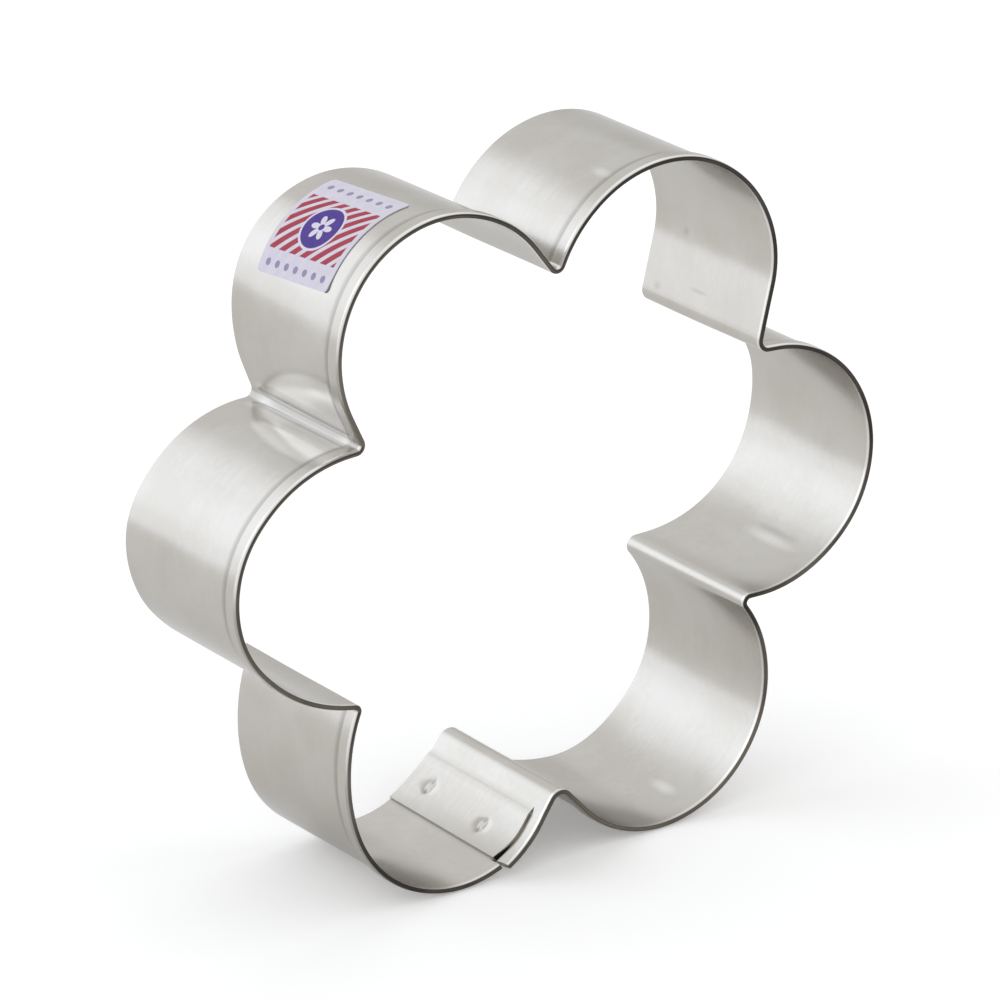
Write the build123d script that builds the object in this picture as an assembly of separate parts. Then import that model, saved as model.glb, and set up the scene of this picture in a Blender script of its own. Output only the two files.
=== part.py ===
"""A six-petal flower cookie cutter, bent from one strip of tinplate and closed by a spot-welded lap.

The cutter stands on edge on two of its petals. X runs across the flower, Z up, and Y along the cutter's depth:
the hemmed rim that the hand presses faces -Y, and the thin cutting edge faces +Y. Sizes are in millimetres,
angles in degrees. The flower's outline is followed anticlockwise as seen from -Y, from +X towards +Z.
"""
from build123d import *
import os
from math import asin, atan2, cos, degrees, radians, sin, sqrt, tan

# The strip
strip_depth = 22.2
sheet = 0.30
hem_width = 2.1
rim_flat = 0.06

# The flower: each petal is a crown arc between two flank arcs, and straight ramps lead into each valley's nose.
# A nose's radius is what is left inside its fold, over the hem. The others are the middle of the sheet's.
petal_reach = 28.6
crown_radius = 13.9
flank_radius = 15.0
nose_radius = 0.55
crown_half_angle = 40.0

# What the bending left uneven, petal by petal from the one at +X: shares of the sizes above, and angles.
# Each flank bends until its ramp angle, counted from the petal's own axis. Right flanks come before the crown.
reach_shares = (1.010, 0.987, 0.986, 1.007, 1.016, 0.986)
crown_shares = (1.006, 1.050, 0.979, 0.912, 1.000, 1.047)
right_flank_shares = (1.053, 0.820, 0.987, 1.093, 1.393, 0.900)
left_flank_shares = (0.920, 1.027, 0.947, 1.267, 0.940, 0.993)
nose_shares = (1.44, 0.87, 0.93, 0.27, 1.84, 0.64)
lean_angles = (0.9, -1.0, 1.2, 0.9, 2.9, -0.3)
right_ramp_angles = (90.3, 73.8, 82.2, 86.7, 80.4, 76.9)
left_ramp_angles = (87.4, 94.8, 85.9, 81.1, 86.3, 94.6)

# The seam, on the flank of the lower left petal: the strip's first end laps inside its last end
seam_from_valley = 3.9
lap = 6.7
joggle = 0.9
layer_gap = 0.03
butt_gap = 0.25
slit = 0.2
band_tilt = 7.5
band_bend = 5.0

# The spot welds through the lap
weld_length = 1.7
weld_width = 1.2
weld_dish = 0.07
weld_along_shares = {"spot_weld_back": 0.46, "spot_weld_front": 0.58}
weld_depth_shares = {"spot_weld_back": 0.325, "spot_weld_front": -0.175}

# The paper label on the upper left petal: height along the strip, width across it
label_height = 14.2
label_width = 13.2
label_corner = 0.5
label_paper = 0.08
label_glue = 0.03
label_depth = 0.85
label_bearing = 5.2
label_turn = 3.8

petal_count = len(reach_shares)
pitch = 360.0 / petal_count
label_petal = petal_count // 2 - 1
left_foot = petal_count - 2
right_foot = petal_count - 1
front = -strip_depth / 2
back = strip_depth / 2
hem_back = front + hem_width
body_front = hem_back + slit
half_sheet = sheet / 2
layer_step = sheet + layer_gap
least_run = sheet / 200


def ray(bearing):
    """The unit vector at this bearing in the flower's plane."""
    return Vector(cos(radians(bearing)), 0, sin(radians(bearing)))


def bearing_of(vector):
    """The bearing of a vector in the flower's plane."""
    return degrees(atan2(vector.Z, vector.X))


class Bend:
    """A stretch of the strip that turns about a centre, anticlockwise where its turn is positive."""

    def __init__(self, centre, radius, start, turn):
        self.centre = centre
        self.radius = radius
        self.start = start
        self.turn = turn
        self.side = 1 if turn > 0 else -1
        self.length = radius * radians(abs(turn))

    def part(self, begin, end):
        """The stretch of it between two distances along it."""
        rate = self.turn / self.length
        return Bend(self.centre, self.radius, self.start + rate * begin, rate * (end - begin))

    def outward(self, distance):
        """The direction out of the flower at this distance along it."""
        return ray(self.start + self.turn * distance / self.length) * self.side

    def point(self, distance, offset):
        """The point at this distance along it, moved out of the flower by the offset."""
        return self.centre + self.outward(distance) * (self.side * self.radius + offset)

    def edge(self, offset):
        """The arc that runs beside it at this offset."""
        places = [self.point(share * self.length, offset) for share in (0, 0.5, 1)]
        return Edge.make_three_point_arc(*places)


class Ramp:
    """A straight stretch of the strip. Out of the flower is to the right of its heading."""

    def __init__(self, start, heading, length):
        self.start = start
        self.heading = heading
        self.length = length

    def part(self, begin, end):
        """The stretch of it between two distances along it."""
        return Ramp(self.start + ray(self.heading) * begin, self.heading, end - begin)

    def outward(self, distance):
        """The direction out of the flower, the same all along it."""
        return ray(self.heading - 90)

    def point(self, distance, offset):
        """The point at this distance along it, moved out of the flower by the offset."""
        return self.start + ray(self.heading) * distance + self.outward(distance) * offset

    def edge(self, offset):
        """The line that runs beside it at this offset."""
        return Edge.make_line(self.point(0, offset), self.point(self.length, offset))


def crown(petal, stance):
    """Centre and radius of a petal's crown arc, with the whole flower turned by the stance."""
    bearing = petal * pitch + stance + lean_angles[petal]
    return ray(bearing) * petal_reach * reach_shares[petal], crown_radius * crown_shares[petal]


def level_stance():
    """The turn that brings both lower petals down to one floor: their common tangent becomes level."""
    (left, left_radius), (right, right_radius) = crown(left_foot, 0), crown(right_foot, 0)
    between = right - left
    return degrees(asin((right_radius - left_radius) / between.length)) - bearing_of(between)


class Flank:
    """One side of a petal: an arc that leaves the crown, then a ramp that runs on straight.

    way is +1 on the left side, which is bent after the crown, and -1 on the right side.
    """

    def __init__(self, petal, way, stance):
        shares = left_flank_shares if way > 0 else right_flank_shares
        ramps = left_ramp_angles if way > 0 else right_ramp_angles
        centre, radius = crown(petal, stance)
        axis = petal * pitch + stance
        self.way = way
        self.radius = flank_radius * shares[petal]
        self.crown_bearing = axis + way * crown_half_angle
        self.centre = centre + ray(self.crown_bearing) * (radius - self.radius)
        self.ramp_bearing = axis + way * ramps[petal]
        self.normal = ray(self.ramp_bearing)
        self.along = ray(self.ramp_bearing + way * 90)

    def touch(self, centre):
        """The bearing, seen from the flank's centre, at which a nose with this centre touches it."""
        if (centre - self.centre).dot(self.along) > 0:
            return self.ramp_bearing
        return bearing_of(centre - self.centre)

    def ramp_start(self, bearing):
        """Where the arc ends and the ramp begins."""
        return self.centre + ray(bearing) * self.radius


def line_circle(start, along, centre, radius):
    """The distances along a line at which it crosses a circle."""
    toward = centre - start
    middle = toward.dot(along)
    square = radius**2 - toward.length**2 + middle**2
    return (middle - sqrt(square), middle + sqrt(square)) if square > 0 else ()


def nose_centre(left, right, radius):
    """The centre of the nose that rounds a valley: it is one nose radius out of both petals' sides.

    Each side is an arc and then a ramp, so its outward copy is too, and the centre is where the copies cross.
    """
    starts = [flank.centre + flank.normal * (flank.radius + radius) for flank in (left, right)]
    found = []
    across = left.along.cross(right.along).Y
    gap = starts[1] - starts[0]
    run_left, run_right = gap.cross(right.along).Y / across, gap.cross(left.along).Y / across
    if run_left >= 0 and run_right >= 0:
        found.append(starts[0] + left.along * run_left)
    for ramp, arc, start in ((left, right, starts[0]), (right, left, starts[1])):
        for run in line_circle(start, ramp.along, arc.centre, arc.radius + radius):
            place = start + ramp.along * run
            if run >= 0 and (place - arc.centre).dot(arc.along) <= 0:
                found.append(place)
    between = right.centre - left.centre
    near, far = left.radius + radius, right.radius + radius
    run = (between.length**2 + near**2 - far**2) / (2 * between.length)
    if near > abs(run):
        rise = ray(bearing_of(between) + 90) * sqrt(near**2 - run**2)
        for place in (left.centre + between.normalized() * run + rise * sign for sign in (1, -1)):
            if all((place - flank.centre).dot(flank.along) <= 0 for flank in (left, right)):
                found.append(place)
    return max(found, key=lambda place: place.length)


def outline(stance):
    """The strip's middle line as a closed path of bends and ramps, from the tip of the bottom valley."""
    rights = [Flank(petal, -1, stance) for petal in range(petal_count)]
    lefts = [Flank(petal, 1, stance) for petal in range(petal_count)]
    noses = []
    for petal in range(petal_count):
        left, right = lefts[petal], rights[(petal + 1) % petal_count]
        radius = nose_radius * nose_shares[petal] + sheet + half_sheet
        centre = nose_centre(left, right, radius)
        leave, arrive = left.touch(centre), right.touch(centre)
        turn = -((leave - arrive) % 360)
        noses.append((Bend(centre, radius, leave + 180, turn), leave, arrive))
    path = []
    for petal in [right_foot] + list(range(petal_count - 1)):
        left, right = lefts[petal], rights[petal]
        before, after = noses[petal - 1], noses[petal]
        centre, radius = crown(petal, stance)
        arrive, leave = before[2], after[1]
        ramp_top = right.ramp_start(arrive)
        nose_end = before[0].point(before[0].length, 0)
        path.append(Ramp(nose_end, arrive + 90, (ramp_top - nose_end).length))
        path.append(Bend(right.centre, right.radius, arrive, (right.crown_bearing - arrive) % 360))
        path.append(Bend(centre, radius, right.crown_bearing, 2 * crown_half_angle))
        path.append(Bend(left.centre, left.radius, left.crown_bearing, (leave - left.crown_bearing) % 360))
        ramp_foot = left.ramp_start(leave)
        nose_start = after[0].point(0, 0)
        path.append(Ramp(ramp_foot, leave + 90, (nose_start - ramp_foot).length))
        path.append(after[0])
    nose = path.pop()
    half = nose.length / 2
    path = [nose.part(half, nose.length), *path, nose.part(0, half)]
    return [stretch for stretch in path if stretch.length > least_run]


def portion(path, begin, end):
    """The stretch of the closed path between two distances, which may be negative or run past its start."""
    total = sum(stretch.length for stretch in path)
    found = []
    at = -total
    for stretch in path * 3:
        low, high = max(begin - at, 0), min(end - at, stretch.length)
        if high - low > least_run:
            found.append(stretch.part(low, high))
        at += stretch.length
    return found


def section(path, inner, outer, low, high):
    """The solid between two offsets of the path and two depths."""
    ends = [path[0], path[-1]]
    caps = [
        Edge.make_line(ends[0].point(0, inner), ends[0].point(0, outer)),
        Edge.make_line(ends[1].point(ends[1].length, inner), ends[1].point(ends[1].length, outer)),
    ]
    sides = [stretch.edge(offset) for offset in (inner, outer) for stretch in path]
    face = Face(Wire(sides + caps))
    return Pos(0, low, 0) * extrude(face, amount=high - low, dir=(0, 1, 0))


def rounded_rim(band):
    """The band with its folded rim rounded: a fillet along both long edges, which leaves a narrow flat between them.

    The short edges across the two sheets are left out, and the long edges bring their short neighbours along.
    """
    fronts = band.faces().filter_by(lambda face: face.normal_at().Y < -0.5)
    rim = [edge for face in fronts for edge in face.edges() if edge.length > 2 * sheet + half_sheet]
    return band.fillet(sheet - rim_flat / 2, rim)


def along(stretch, distance):
    """The strip's heading at this distance along a stretch."""
    return ray(bearing_of(stretch.outward(distance)) + 90)


def lap_tail(path, total):
    """The strip's first end behind the hem: it steps in by one sheet and lies inside the last end."""
    lap_end = total - seam_from_valley
    tail = portion(path, lap_end - lap, lap_end)
    lying = section(tail, -half_sheet - layer_step, half_sheet - layer_step, body_front, back)
    root = portion(path, lap_end, lap_end + joggle)
    step = []
    for offset in (-half_sheet, half_sheet):
        low = root[0].point(0, offset - layer_step)
        high = root[-1].point(root[-1].length, offset)
        headings = [along(root[0], 0), along(root[-1], root[-1].length)]
        step.append((low, high, Edge.make_spline([low, high], tangents=headings)))
    caps = [Edge.make_line(step[0][end], step[1][end]) for end in (0, 1)]
    face = Face(Wire([side[2] for side in step] + caps))
    return [lying, Pos(0, body_front, 0) * extrude(face, amount=back - body_front, dir=(0, 1, 0))]


def lap_band(path, total):
    """The hem of the strip's first end: cut free along the slit, its free end bent a little forward.

    Its side view is drawn from the slit's root, with u towards the free end and v back along the depth.
    """
    root = total - seam_from_valley + joggle
    stretch = portion(path, root - joggle - lap, root)
    end = stretch[-1]
    reach = 2 * (joggle + lap)
    side = Plane(end.point(end.length, 0), x_dir=-along(end, end.length), z_dir=end.outward(end.length))
    tilt = radians(band_tilt)
    run = Vector(cos(tilt), -sin(tilt)) * reach
    centre = Vector(0, front - band_bend)
    outer = [centre + Vector(sin(angle), cos(angle)) * band_bend for angle in (0, tilt / 2, tilt)]
    inner = [centre + Vector(sin(angle), cos(angle)) * (band_bend + hem_width) for angle in (0, tilt / 2, tilt)]
    drawing = Wire([
        Edge.make_line(inner[0], outer[0]),
        Edge.make_three_point_arc(*outer),
        Edge.make_line(outer[2], outer[2] + run),
        Edge.make_line(outer[2] + run, inner[2] + run),
        Edge.make_line(inner[2] + run, inner[2]),
        Edge.make_three_point_arc(*inner),
    ])
    blank = section(stretch, -half_sheet, half_sheet + sheet, front - reach, hem_back)
    return blank & extrude(side * Face(drawing), amount=reach, dir=end.outward(end.length), both=True)


def weld_shape(path, total, name):
    """The upright oval column of one spot weld, right through both sheets, and the stretch that it lies on."""
    place = total - seam_from_valley - lap * weld_along_shares[name]
    around = portion(path, place - weld_length, place + weld_length)
    here = portion(path, place, place + weld_length)[0]
    middle = here.point(0, -layer_step / 2) + Vector(0, strip_depth * weld_depth_shares[name], 0)
    face = Plane(middle, x_dir=along(here, 0), z_dir=here.outward(0))
    oval = face * Ellipse(weld_length / 2, weld_width / 2)
    return extrude(oval, amount=2 * sheet, both=True), around


def cutter_strip(path, total):
    """The one strip of tinplate: hem, bent body, lapped ends and the holes that the weld metal fills."""
    seam_end = total - seam_from_valley
    hem_end = seam_end - lap - butt_gap
    whole = portion(path, joggle - seam_from_valley, hem_end)
    # The body starts one sheet behind the rim, clear of the rim's round
    pieces = [
        section(whole, -half_sheet, half_sheet, front + sheet, back),
        section(portion(path, hem_end, seam_end), -half_sheet, half_sheet, body_front, back),
        *lap_tail(path, total),
    ]
    hem = section(whole, -half_sheet, half_sheet + sheet, front, hem_back) + lap_band(path, total)
    strip = rounded_rim(hem)
    for piece in pieces:
        strip = strip + piece
    for name in weld_along_shares:
        strip = strip - weld_shape(path, total, name)[0]
    return strip


def spot_weld(path, total, name):
    """The metal of one spot weld: it fills its hole in both sheets and lies dished below their faces."""
    column, around = weld_shape(path, total, name)
    slab = section(around, -half_sheet - layer_step + weld_dish, half_sheet - weld_dish, front, back)
    return column & slab


def label_layer(stance, lift, thickness):
    """One layer of the label, wrapped round the petal's crown and turned a little out of square."""
    centre, radius = crown(label_petal, stance)
    bearing = label_petal * pitch + stance + label_bearing
    face_radius = radius + half_sheet
    half_angle = degrees(label_height / 2 / face_radius)
    chord = 2 * face_radius * sin(radians(half_angle))
    skin = [Bend(centre, radius, bearing - crown_half_angle, 2 * crown_half_angle)]
    shell = section(skin, half_sheet + lift, half_sheet + lift + thickness, front, back)
    middle = centre + ray(bearing) * face_radius + Vector(0, label_depth, 0)
    face = Plane(middle, x_dir=ray(bearing + 90), z_dir=ray(bearing)).rotated((0, 0, label_turn))
    blank = face * RectangleRounded(chord, label_width, label_corner)
    return extrude(blank, amount=radius / 2, both=True) & shell


stance = level_stance()
path = outline(stance)
total = sum(stretch.length for stretch in path)
parts = {"cutter_strip": cutter_strip(path, total)}
for name in weld_along_shares:
    parts[name] = spot_weld(path, total, name)
parts["label_adhesive"] = label_layer(stance, 0, label_glue)
parts["label_film"] = label_layer(stance, label_glue, label_paper)

# The origin is on the floor, below the middle of the cutter's box
box = parts["cutter_strip"].bounding_box()
seat = Pos(-box.center().X, -box.center().Y, -box.min.Z)
print("strip length", round(total, 1), "box", box.size)
os.makedirs("parts", exist_ok=True)
for name, shape in parts.items():
    placed = seat * shape
    export_step(placed, f"parts/{name}.step")
    print(name, "solids", len(placed.solids()), "volume", round(placed.volume, 3))
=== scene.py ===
# %% [markdown]
# # A six-petal flower cookie cutter
# A strip of tinplate is folded over along one long edge, bent into a flower and closed by two spot welds.
# It stands on edge on two of its petals. The imported solids are loaded first, as a frame that nothing here
# may move: X runs across the flower, Z is up, the folded rim faces -Y and the cutting edge faces +Y. The
# box of those solids is kept, because the flower is placed by it.

import bpy
import numpy as np
from mathutils import Matrix, Vector


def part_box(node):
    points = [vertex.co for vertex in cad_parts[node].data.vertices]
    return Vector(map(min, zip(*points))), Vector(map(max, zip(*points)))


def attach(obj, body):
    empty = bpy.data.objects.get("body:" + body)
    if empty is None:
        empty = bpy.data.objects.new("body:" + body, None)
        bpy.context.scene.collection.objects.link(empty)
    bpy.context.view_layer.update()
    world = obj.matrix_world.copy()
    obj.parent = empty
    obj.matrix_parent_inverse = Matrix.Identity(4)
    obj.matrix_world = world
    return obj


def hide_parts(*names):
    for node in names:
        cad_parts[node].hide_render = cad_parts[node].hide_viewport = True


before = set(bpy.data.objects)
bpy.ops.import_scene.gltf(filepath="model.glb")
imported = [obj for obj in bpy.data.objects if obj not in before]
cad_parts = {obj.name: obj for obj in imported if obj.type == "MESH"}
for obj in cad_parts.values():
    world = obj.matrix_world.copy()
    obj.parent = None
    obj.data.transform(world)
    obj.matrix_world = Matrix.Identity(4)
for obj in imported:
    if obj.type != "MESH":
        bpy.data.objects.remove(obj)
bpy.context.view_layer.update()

# %% [markdown]
# ## The camera
# The photograph was taken from the left, a little above, with a long lens. A camera is given here by
# where it looks, from which direction and from how far. Its three axes are worked out from those angles:
# back points from the object to the camera, right is level and square to it, and a small roll turns the
# picture.

# %% The camera at the photograph's angle
azimuth, elevation, roll = np.radians([-34.318, 21.452, -1.336])
aim = np.array([-0.00097, 0.00044, 0.03942])
camera_distance = 0.715
focal_length, sensor_width = 233.75, 36.0


def camera_axes(azimuth, elevation, roll):
    """Right, up and back as unit vectors: back from the two angles, then both others turned by the roll."""
    flat = np.cos(elevation)
    back = np.array([np.sin(azimuth) * flat, -np.cos(azimuth) * flat, np.sin(elevation)])
    level = np.cross([0, 0, 1], back)
    level /= np.linalg.norm(level)
    upright = np.cross(back, level)
    right = np.cos(roll) * level + np.sin(roll) * upright
    up = np.cos(roll) * upright - np.sin(roll) * level
    return right, up, back


right, up, back_axis = camera_axes(azimuth, elevation, roll)
lens = bpy.data.cameras.new("photo_camera")
lens.lens, lens.sensor_width = focal_length, sensor_width
lens.clip_start, lens.clip_end = 0.05, 50.0
camera = bpy.data.objects.new("photo_camera", lens)
bpy.context.scene.collection.objects.link(camera)
camera_place = aim + back_axis * camera_distance
turned = Matrix([*zip(right, up, back_axis)]).to_4x4()
camera.matrix_world = Matrix.Translation(Vector(camera_place)) @ turned
bpy.context.scene.camera = camera
print("camera at, metres:", camera_place.round(4))

# %% [markdown]
# ## The flower's sizes
# Lengths are in millimetres and angles in degrees, and they are the values that the solids were made
# from, so the finished surfaces lie where the solids lie. No hand-formed cutter is a perfect flower: each
# petal has its own shares of the common sizes.

# %% The strip and the flower
MM = 0.001
strip_depth = 22.2
sheet = 0.30
hem_width = 2.1
petal_reach = 28.6
crown_radius = 13.9
flank_radius = 15.0
nose_radius = 0.55
crown_half_angle = 40.0
reach_shares = (1.010, 0.987, 0.986, 1.007, 1.016, 0.986)
crown_shares = (1.006, 1.050, 0.979, 0.912, 1.000, 1.047)
right_flank_shares = (1.053, 0.820, 0.987, 1.093, 1.393, 0.900)
left_flank_shares = (0.920, 1.027, 0.947, 1.267, 0.940, 0.993)
nose_shares = (1.44, 0.87, 0.93, 0.27, 1.84, 0.64)
lean_angles = (0.9, -1.0, 1.2, 0.9, 2.9, -0.3)
right_ramp_angles = (90.3, 73.8, 82.2, 86.7, 80.4, 76.9)
left_ramp_angles = (87.4, 94.8, 85.9, 81.1, 86.3, 94.6)
petal_count = len(reach_shares)
pitch = 360 / petal_count
left_foot, right_foot = petal_count - 2, petal_count - 1
front, back = -strip_depth / 2, strip_depth / 2
half_sheet = sheet / 2

# %% [markdown]
# ## The outline as one line that bends
# Seen from the front, the strip is a closed line of arcs and straight ramps: a wide crown arc at the top
# of each petal, a flank arc down each side, a short ramp, and a tight nose in each valley. A point in the
# flower's plane is one complex number here, X real and Z imaginary, so that turning is multiplying by a
# unit number. The centre of a nose lies one nose radius outside both flanks, which is where two offset
# lines cross.

# %% Plane geometry with complex numbers


def ray(bearing):
    """The unit vector at a bearing in degrees: cosine along X, sine along Z."""
    return np.exp(1j * np.radians(bearing))


def bearing_of(arrow):
    """The bearing of a vector, in degrees."""
    return np.degrees(np.angle(arrow))


def dot(one, other):
    """How far one vector reaches along the other, times the other's length."""
    return (one * np.conj(other)).real


def cross(one, other):
    """The signed area between two vectors, positive where the other lies anticlockwise."""
    return (np.conj(one) * other).imag


def crown(petal, stance):
    """Centre and radius of a petal's crown arc, with the whole flower turned by the stance."""
    centre = ray(petal * pitch + stance + lean_angles[petal]) * petal_reach * reach_shares[petal]
    return centre, crown_radius * crown_shares[petal]


(left_centre, left_radius), (right_centre, right_radius) = crown(left_foot, 0), crown(right_foot, 0)
between_feet = right_centre - left_centre
foot_slope = np.degrees(np.arcsin((right_radius - left_radius) / abs(between_feet)))
stance = foot_slope - bearing_of(between_feet)
print("the flower is turned by", round(float(stance), 4), "degrees to stand level on two petals")

# %% The two sides of a petal


class Flank:
    """One side of a petal: an arc that leaves the crown, then a straight ramp.

    way is +1 for the left side and -1 for the right side.
    """

    def __init__(self, petal, way):
        shares = left_flank_shares if way > 0 else right_flank_shares
        ramps = left_ramp_angles if way > 0 else right_ramp_angles
        centre, radius = crown(petal, stance)
        axis = petal * pitch + stance
        self.radius = flank_radius * shares[petal]
        self.crown_bearing = axis + way * crown_half_angle
        self.centre = centre + ray(self.crown_bearing) * (radius - self.radius)
        self.ramp_bearing = axis + way * ramps[petal]
        self.along = ray(self.ramp_bearing + way * 90)

    def touch(self, centre):
        """The bearing at which a nose with this centre touches it: the ramp's, or one on the arc."""
        if dot(centre - self.centre, self.along) > 0:
            return self.ramp_bearing
        return bearing_of(centre - self.centre)


def ramp_meets_circle(start, along, centre, radius):
    """The places on a straight line, from its start onwards, at one radius from a centre."""
    middle = dot(centre - start, along)
    square = radius**2 - abs(centre - start) ** 2 + middle**2
    runs = [middle - np.sqrt(square), middle + np.sqrt(square)] if square > 0 else []
    return [start + along * run for run in runs if run >= 0]


def nose_centre(left, right, radius):
    """Where both flanks' outlines cross once each is moved out by the nose's radius.

    Ramp meets ramp, ramp meets the other side's arc, or arc meets arc, and the outermost place of all counts.
    """
    starts = [flank.centre + ray(flank.ramp_bearing) * (flank.radius + radius) for flank in (left, right)]
    gap, across = starts[1] - starts[0], cross(left.along, right.along)
    found = []
    if min(cross(gap, right.along) / across, cross(gap, left.along) / across) >= 0:
        found.append(starts[0] + left.along * cross(gap, right.along) / across)
    for ramp, arc, start in ((left, right, starts[0]), (right, left, starts[1])):
        meets = ramp_meets_circle(start, ramp.along, arc.centre, arc.radius + radius)
        found += [place for place in meets if dot(place - arc.centre, arc.along) <= 0]
    between = right.centre - left.centre
    near, far = left.radius + radius, right.radius + radius
    run = (abs(between) ** 2 + near**2 - far**2) / (2 * abs(between))
    if near > abs(run):
        aside = 1j * np.sqrt(near**2 - run**2)
        meets = [left.centre + between / abs(between) * (run + aside * sign) for sign in (1, -1)]
        clear = [max(dot(place - flank.centre, flank.along) for flank in (left, right)) for place in meets]
        found += [place for place, reach in zip(meets, clear) if reach <= 0]
    return max(found, key=abs)


# %% The line as a list of bends
flanks = [(Flank(petal, -1), Flank(petal, 1)) for petal in range(petal_count)]
noses = []
for petal in range(petal_count):
    leaving, arriving = flanks[petal][1], flanks[(petal + 1) % petal_count][0]
    radius = nose_radius * nose_shares[petal] + sheet + half_sheet
    centre = nose_centre(leaving, arriving, radius)
    noses.append((centre, radius, leaving.touch(centre), arriving.touch(centre)))


def petal_runs(petal):
    """The stretches from one nose through the next one: pairs of a length and a turn in degrees."""
    (nose, nose_size, _, arrive), (next_nose, next_size, leave, away) = noses[petal - 1], noses[petal]
    first, second = flanks[petal]
    radius = crown(petal, stance)[1]
    first_turn, last_turn = (first.crown_bearing - arrive) % 360, (leave - second.crown_bearing) % 360
    turns = [first_turn, 2 * crown_half_angle, last_turn]
    ramps = [abs(first.centre + ray(arrive) * (first.radius + nose_size) - nose),
             abs(second.centre + ray(leave) * (second.radius + next_size) - next_nose)]
    sizes = (first.radius, radius, second.radius)
    arcs = [(size * np.radians(turn), turn) for size, turn in zip(sizes, turns)]
    fold = (leave - away) % 360
    return [(ramps[0], 0), *arcs, (ramps[1], 0), (next_size * np.radians(fold), -fold)]


runs = [run for petal in [right_foot, *range(petal_count - 1)] for run in petal_runs(petal)]
half_nose = (runs[-1][0] / 2, runs[-1][1] / 2)
runs = np.array([half_nose, *runs[:-1], half_nose])
run_lengths, run_turns = runs[:, 0], np.radians(runs[:, 1])
run_ends = np.cumsum(run_lengths)
total = run_ends[-1]
print("strip length", round(float(total), 2), "mm in", len(runs), "stretches")

# %% Any point of the line
run_begins = run_ends - run_lengths
run_bends = np.where(run_lengths > 1e-6, run_turns / np.maximum(run_lengths, 1e-6), 0)
tip_centre, tip_radius, tip_leave, tip_arrive = noses[left_foot]
tip_bearing = tip_leave + 180 - ((tip_leave - tip_arrive) % 360) / 2
run_headings = np.radians(tip_bearing - 90) + np.cumsum(run_turns) - run_turns


def chord(heading, bend, distance):
    """The straight step to an arc's far end: its length times a sine quotient, along the middle heading."""
    return distance * np.sinc(bend * distance / (2 * np.pi)) * np.exp(1j * (heading + bend * distance / 2))


run_starts = tip_centre + ray(tip_bearing) * tip_radius
run_starts = run_starts + np.cumsum(chord(run_headings, run_bends, run_lengths))
run_starts = np.concatenate([[tip_centre + ray(tip_bearing) * tip_radius], run_starts[:-1]])


def outline(distance):
    """The middle of the sheet at these distances, and its outward side.

    Distances run anticlockwise from the tip of the lower valley. Each stretch turns at a steady rate, so a
    place is the stretch's start and one chord.
    """
    distance = np.mod(distance, total)
    which = np.searchsorted(run_ends, distance).clip(0, len(runs) - 1)
    run = distance - run_begins[which]
    place = run_starts[which] + chord(run_headings[which], run_bends[which], run)
    heading = run_headings[which] + run_bends[which] * run
    return place, np.exp(1j * (heading - np.pi / 2))


closing = outline(np.array([0.0, total - 1e-9]))[0]
print("the line closes within", round(float(abs(closing[1] - closing[0])), 6), "mm")

# %% [markdown]
# ## Where things stand in the room
# The outline has its own origin in the middle of the flower. The solids stand in the room with their box
# centred over the origin. The widest, highest and lowest points of the hem tell how far the outline has
# to be moved.

# %% The flower's place
hem_offset = half_sheet + sheet
ring = outline(np.linspace(0, total, 40001))
ring = ring[0] + ring[1] * hem_offset
low_corner, high_corner = (np.array(corner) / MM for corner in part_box("cutter_strip"))
shift_x = (low_corner[0] + high_corner[0] - ring.real.max() - ring.real.min()) / 2
shift_y = high_corner[1] - back
shift_z = low_corner[2] - ring.imag.min()
print("flower centre at", [round(float(part), 4) for part in (shift_x, shift_y, shift_z)], "mm")


def room(distance, offset, depth):
    """Points in the room, in metres, from a distance along the line, an offset outwards and a depth."""
    place, outward = outline(distance)
    place, depth = np.broadcast_arrays(place + outward * offset, depth)
    spots = np.stack([place.real + shift_x, depth + shift_y, place.imag + shift_z], axis=-1)
    return spots * MM


# %% [markdown]
# ## The section of the strip
# Cut across, the strip is one closed line: down the inner face, round the fold that the hand presses,
# back along the hem, over the hem's pressed edge, on along the outer face and round the thin cutting
# edge. Carrying that line along the outline gives the whole wall as a grid, a function of two parameters:
# the distance along the strip and the number of the section's point. Each point also carries marks for
# the finish, numbers mostly from 0 to 1: how far it is in the painted dark of the rim at the fold, which
# is painted shade and a painted dark reflection, how near it is to the sheared cutting edge, how much
# painted highlight the rim gets on its roll and on its inner line, and how deep it is in the painted
# shade of the crease behind the hem.

# %% Rows across the depth
seam_from_valley = 3.9
lap = 6.7
joggle = 0.9
layer_step = sheet + 0.03
butt_gap = 0.25
slit = 0.04
band_tilt, band_bend = np.radians(7.5), 5.0
weld_length, weld_width, weld_dish = 1.7, 1.2, 0.07
weld_places = {"back_weld": (0.46, 0.325), "front_weld": (0.58, -0.175)}
weld_along = {name: total - seam_from_valley - lap * share for name, (share, _) in weld_places.items()}
weld_depths = {name: strip_depth * share for name, (_, share) in weld_places.items()}
hem_back = front + hem_width
body_front = hem_back + slit


def hill(value, middle, width):
    """A smooth bump of height one: the bell curve of the distance from its middle."""
    return np.exp(-(((value - middle) / width) ** 2))


def spread(begin, end, closeness):
    """Values from begin to end, as close together as the closeness function asks, in values for each mm.

    The running sum of the closeness grows by one from each value to the next.
    """
    ruler = np.linspace(begin, end, 20001)
    wanted = closeness(ruler)
    climb = np.concatenate([[0], np.cumsum((wanted[1:] + wanted[:-1]) / 2 * np.abs(np.diff(ruler)))])
    return np.interp(np.linspace(0, climb[-1], int(np.ceil(climb[-1])) + 1), climb, ruler)


def row_closeness(depth):
    """Rows for each mm: 1.1, and about five times as many over the two welds."""
    return 1.1 + 4.5 * sum(hill(depth, weld_depth, 0.8) for weld_depth in weld_depths.values())


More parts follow.
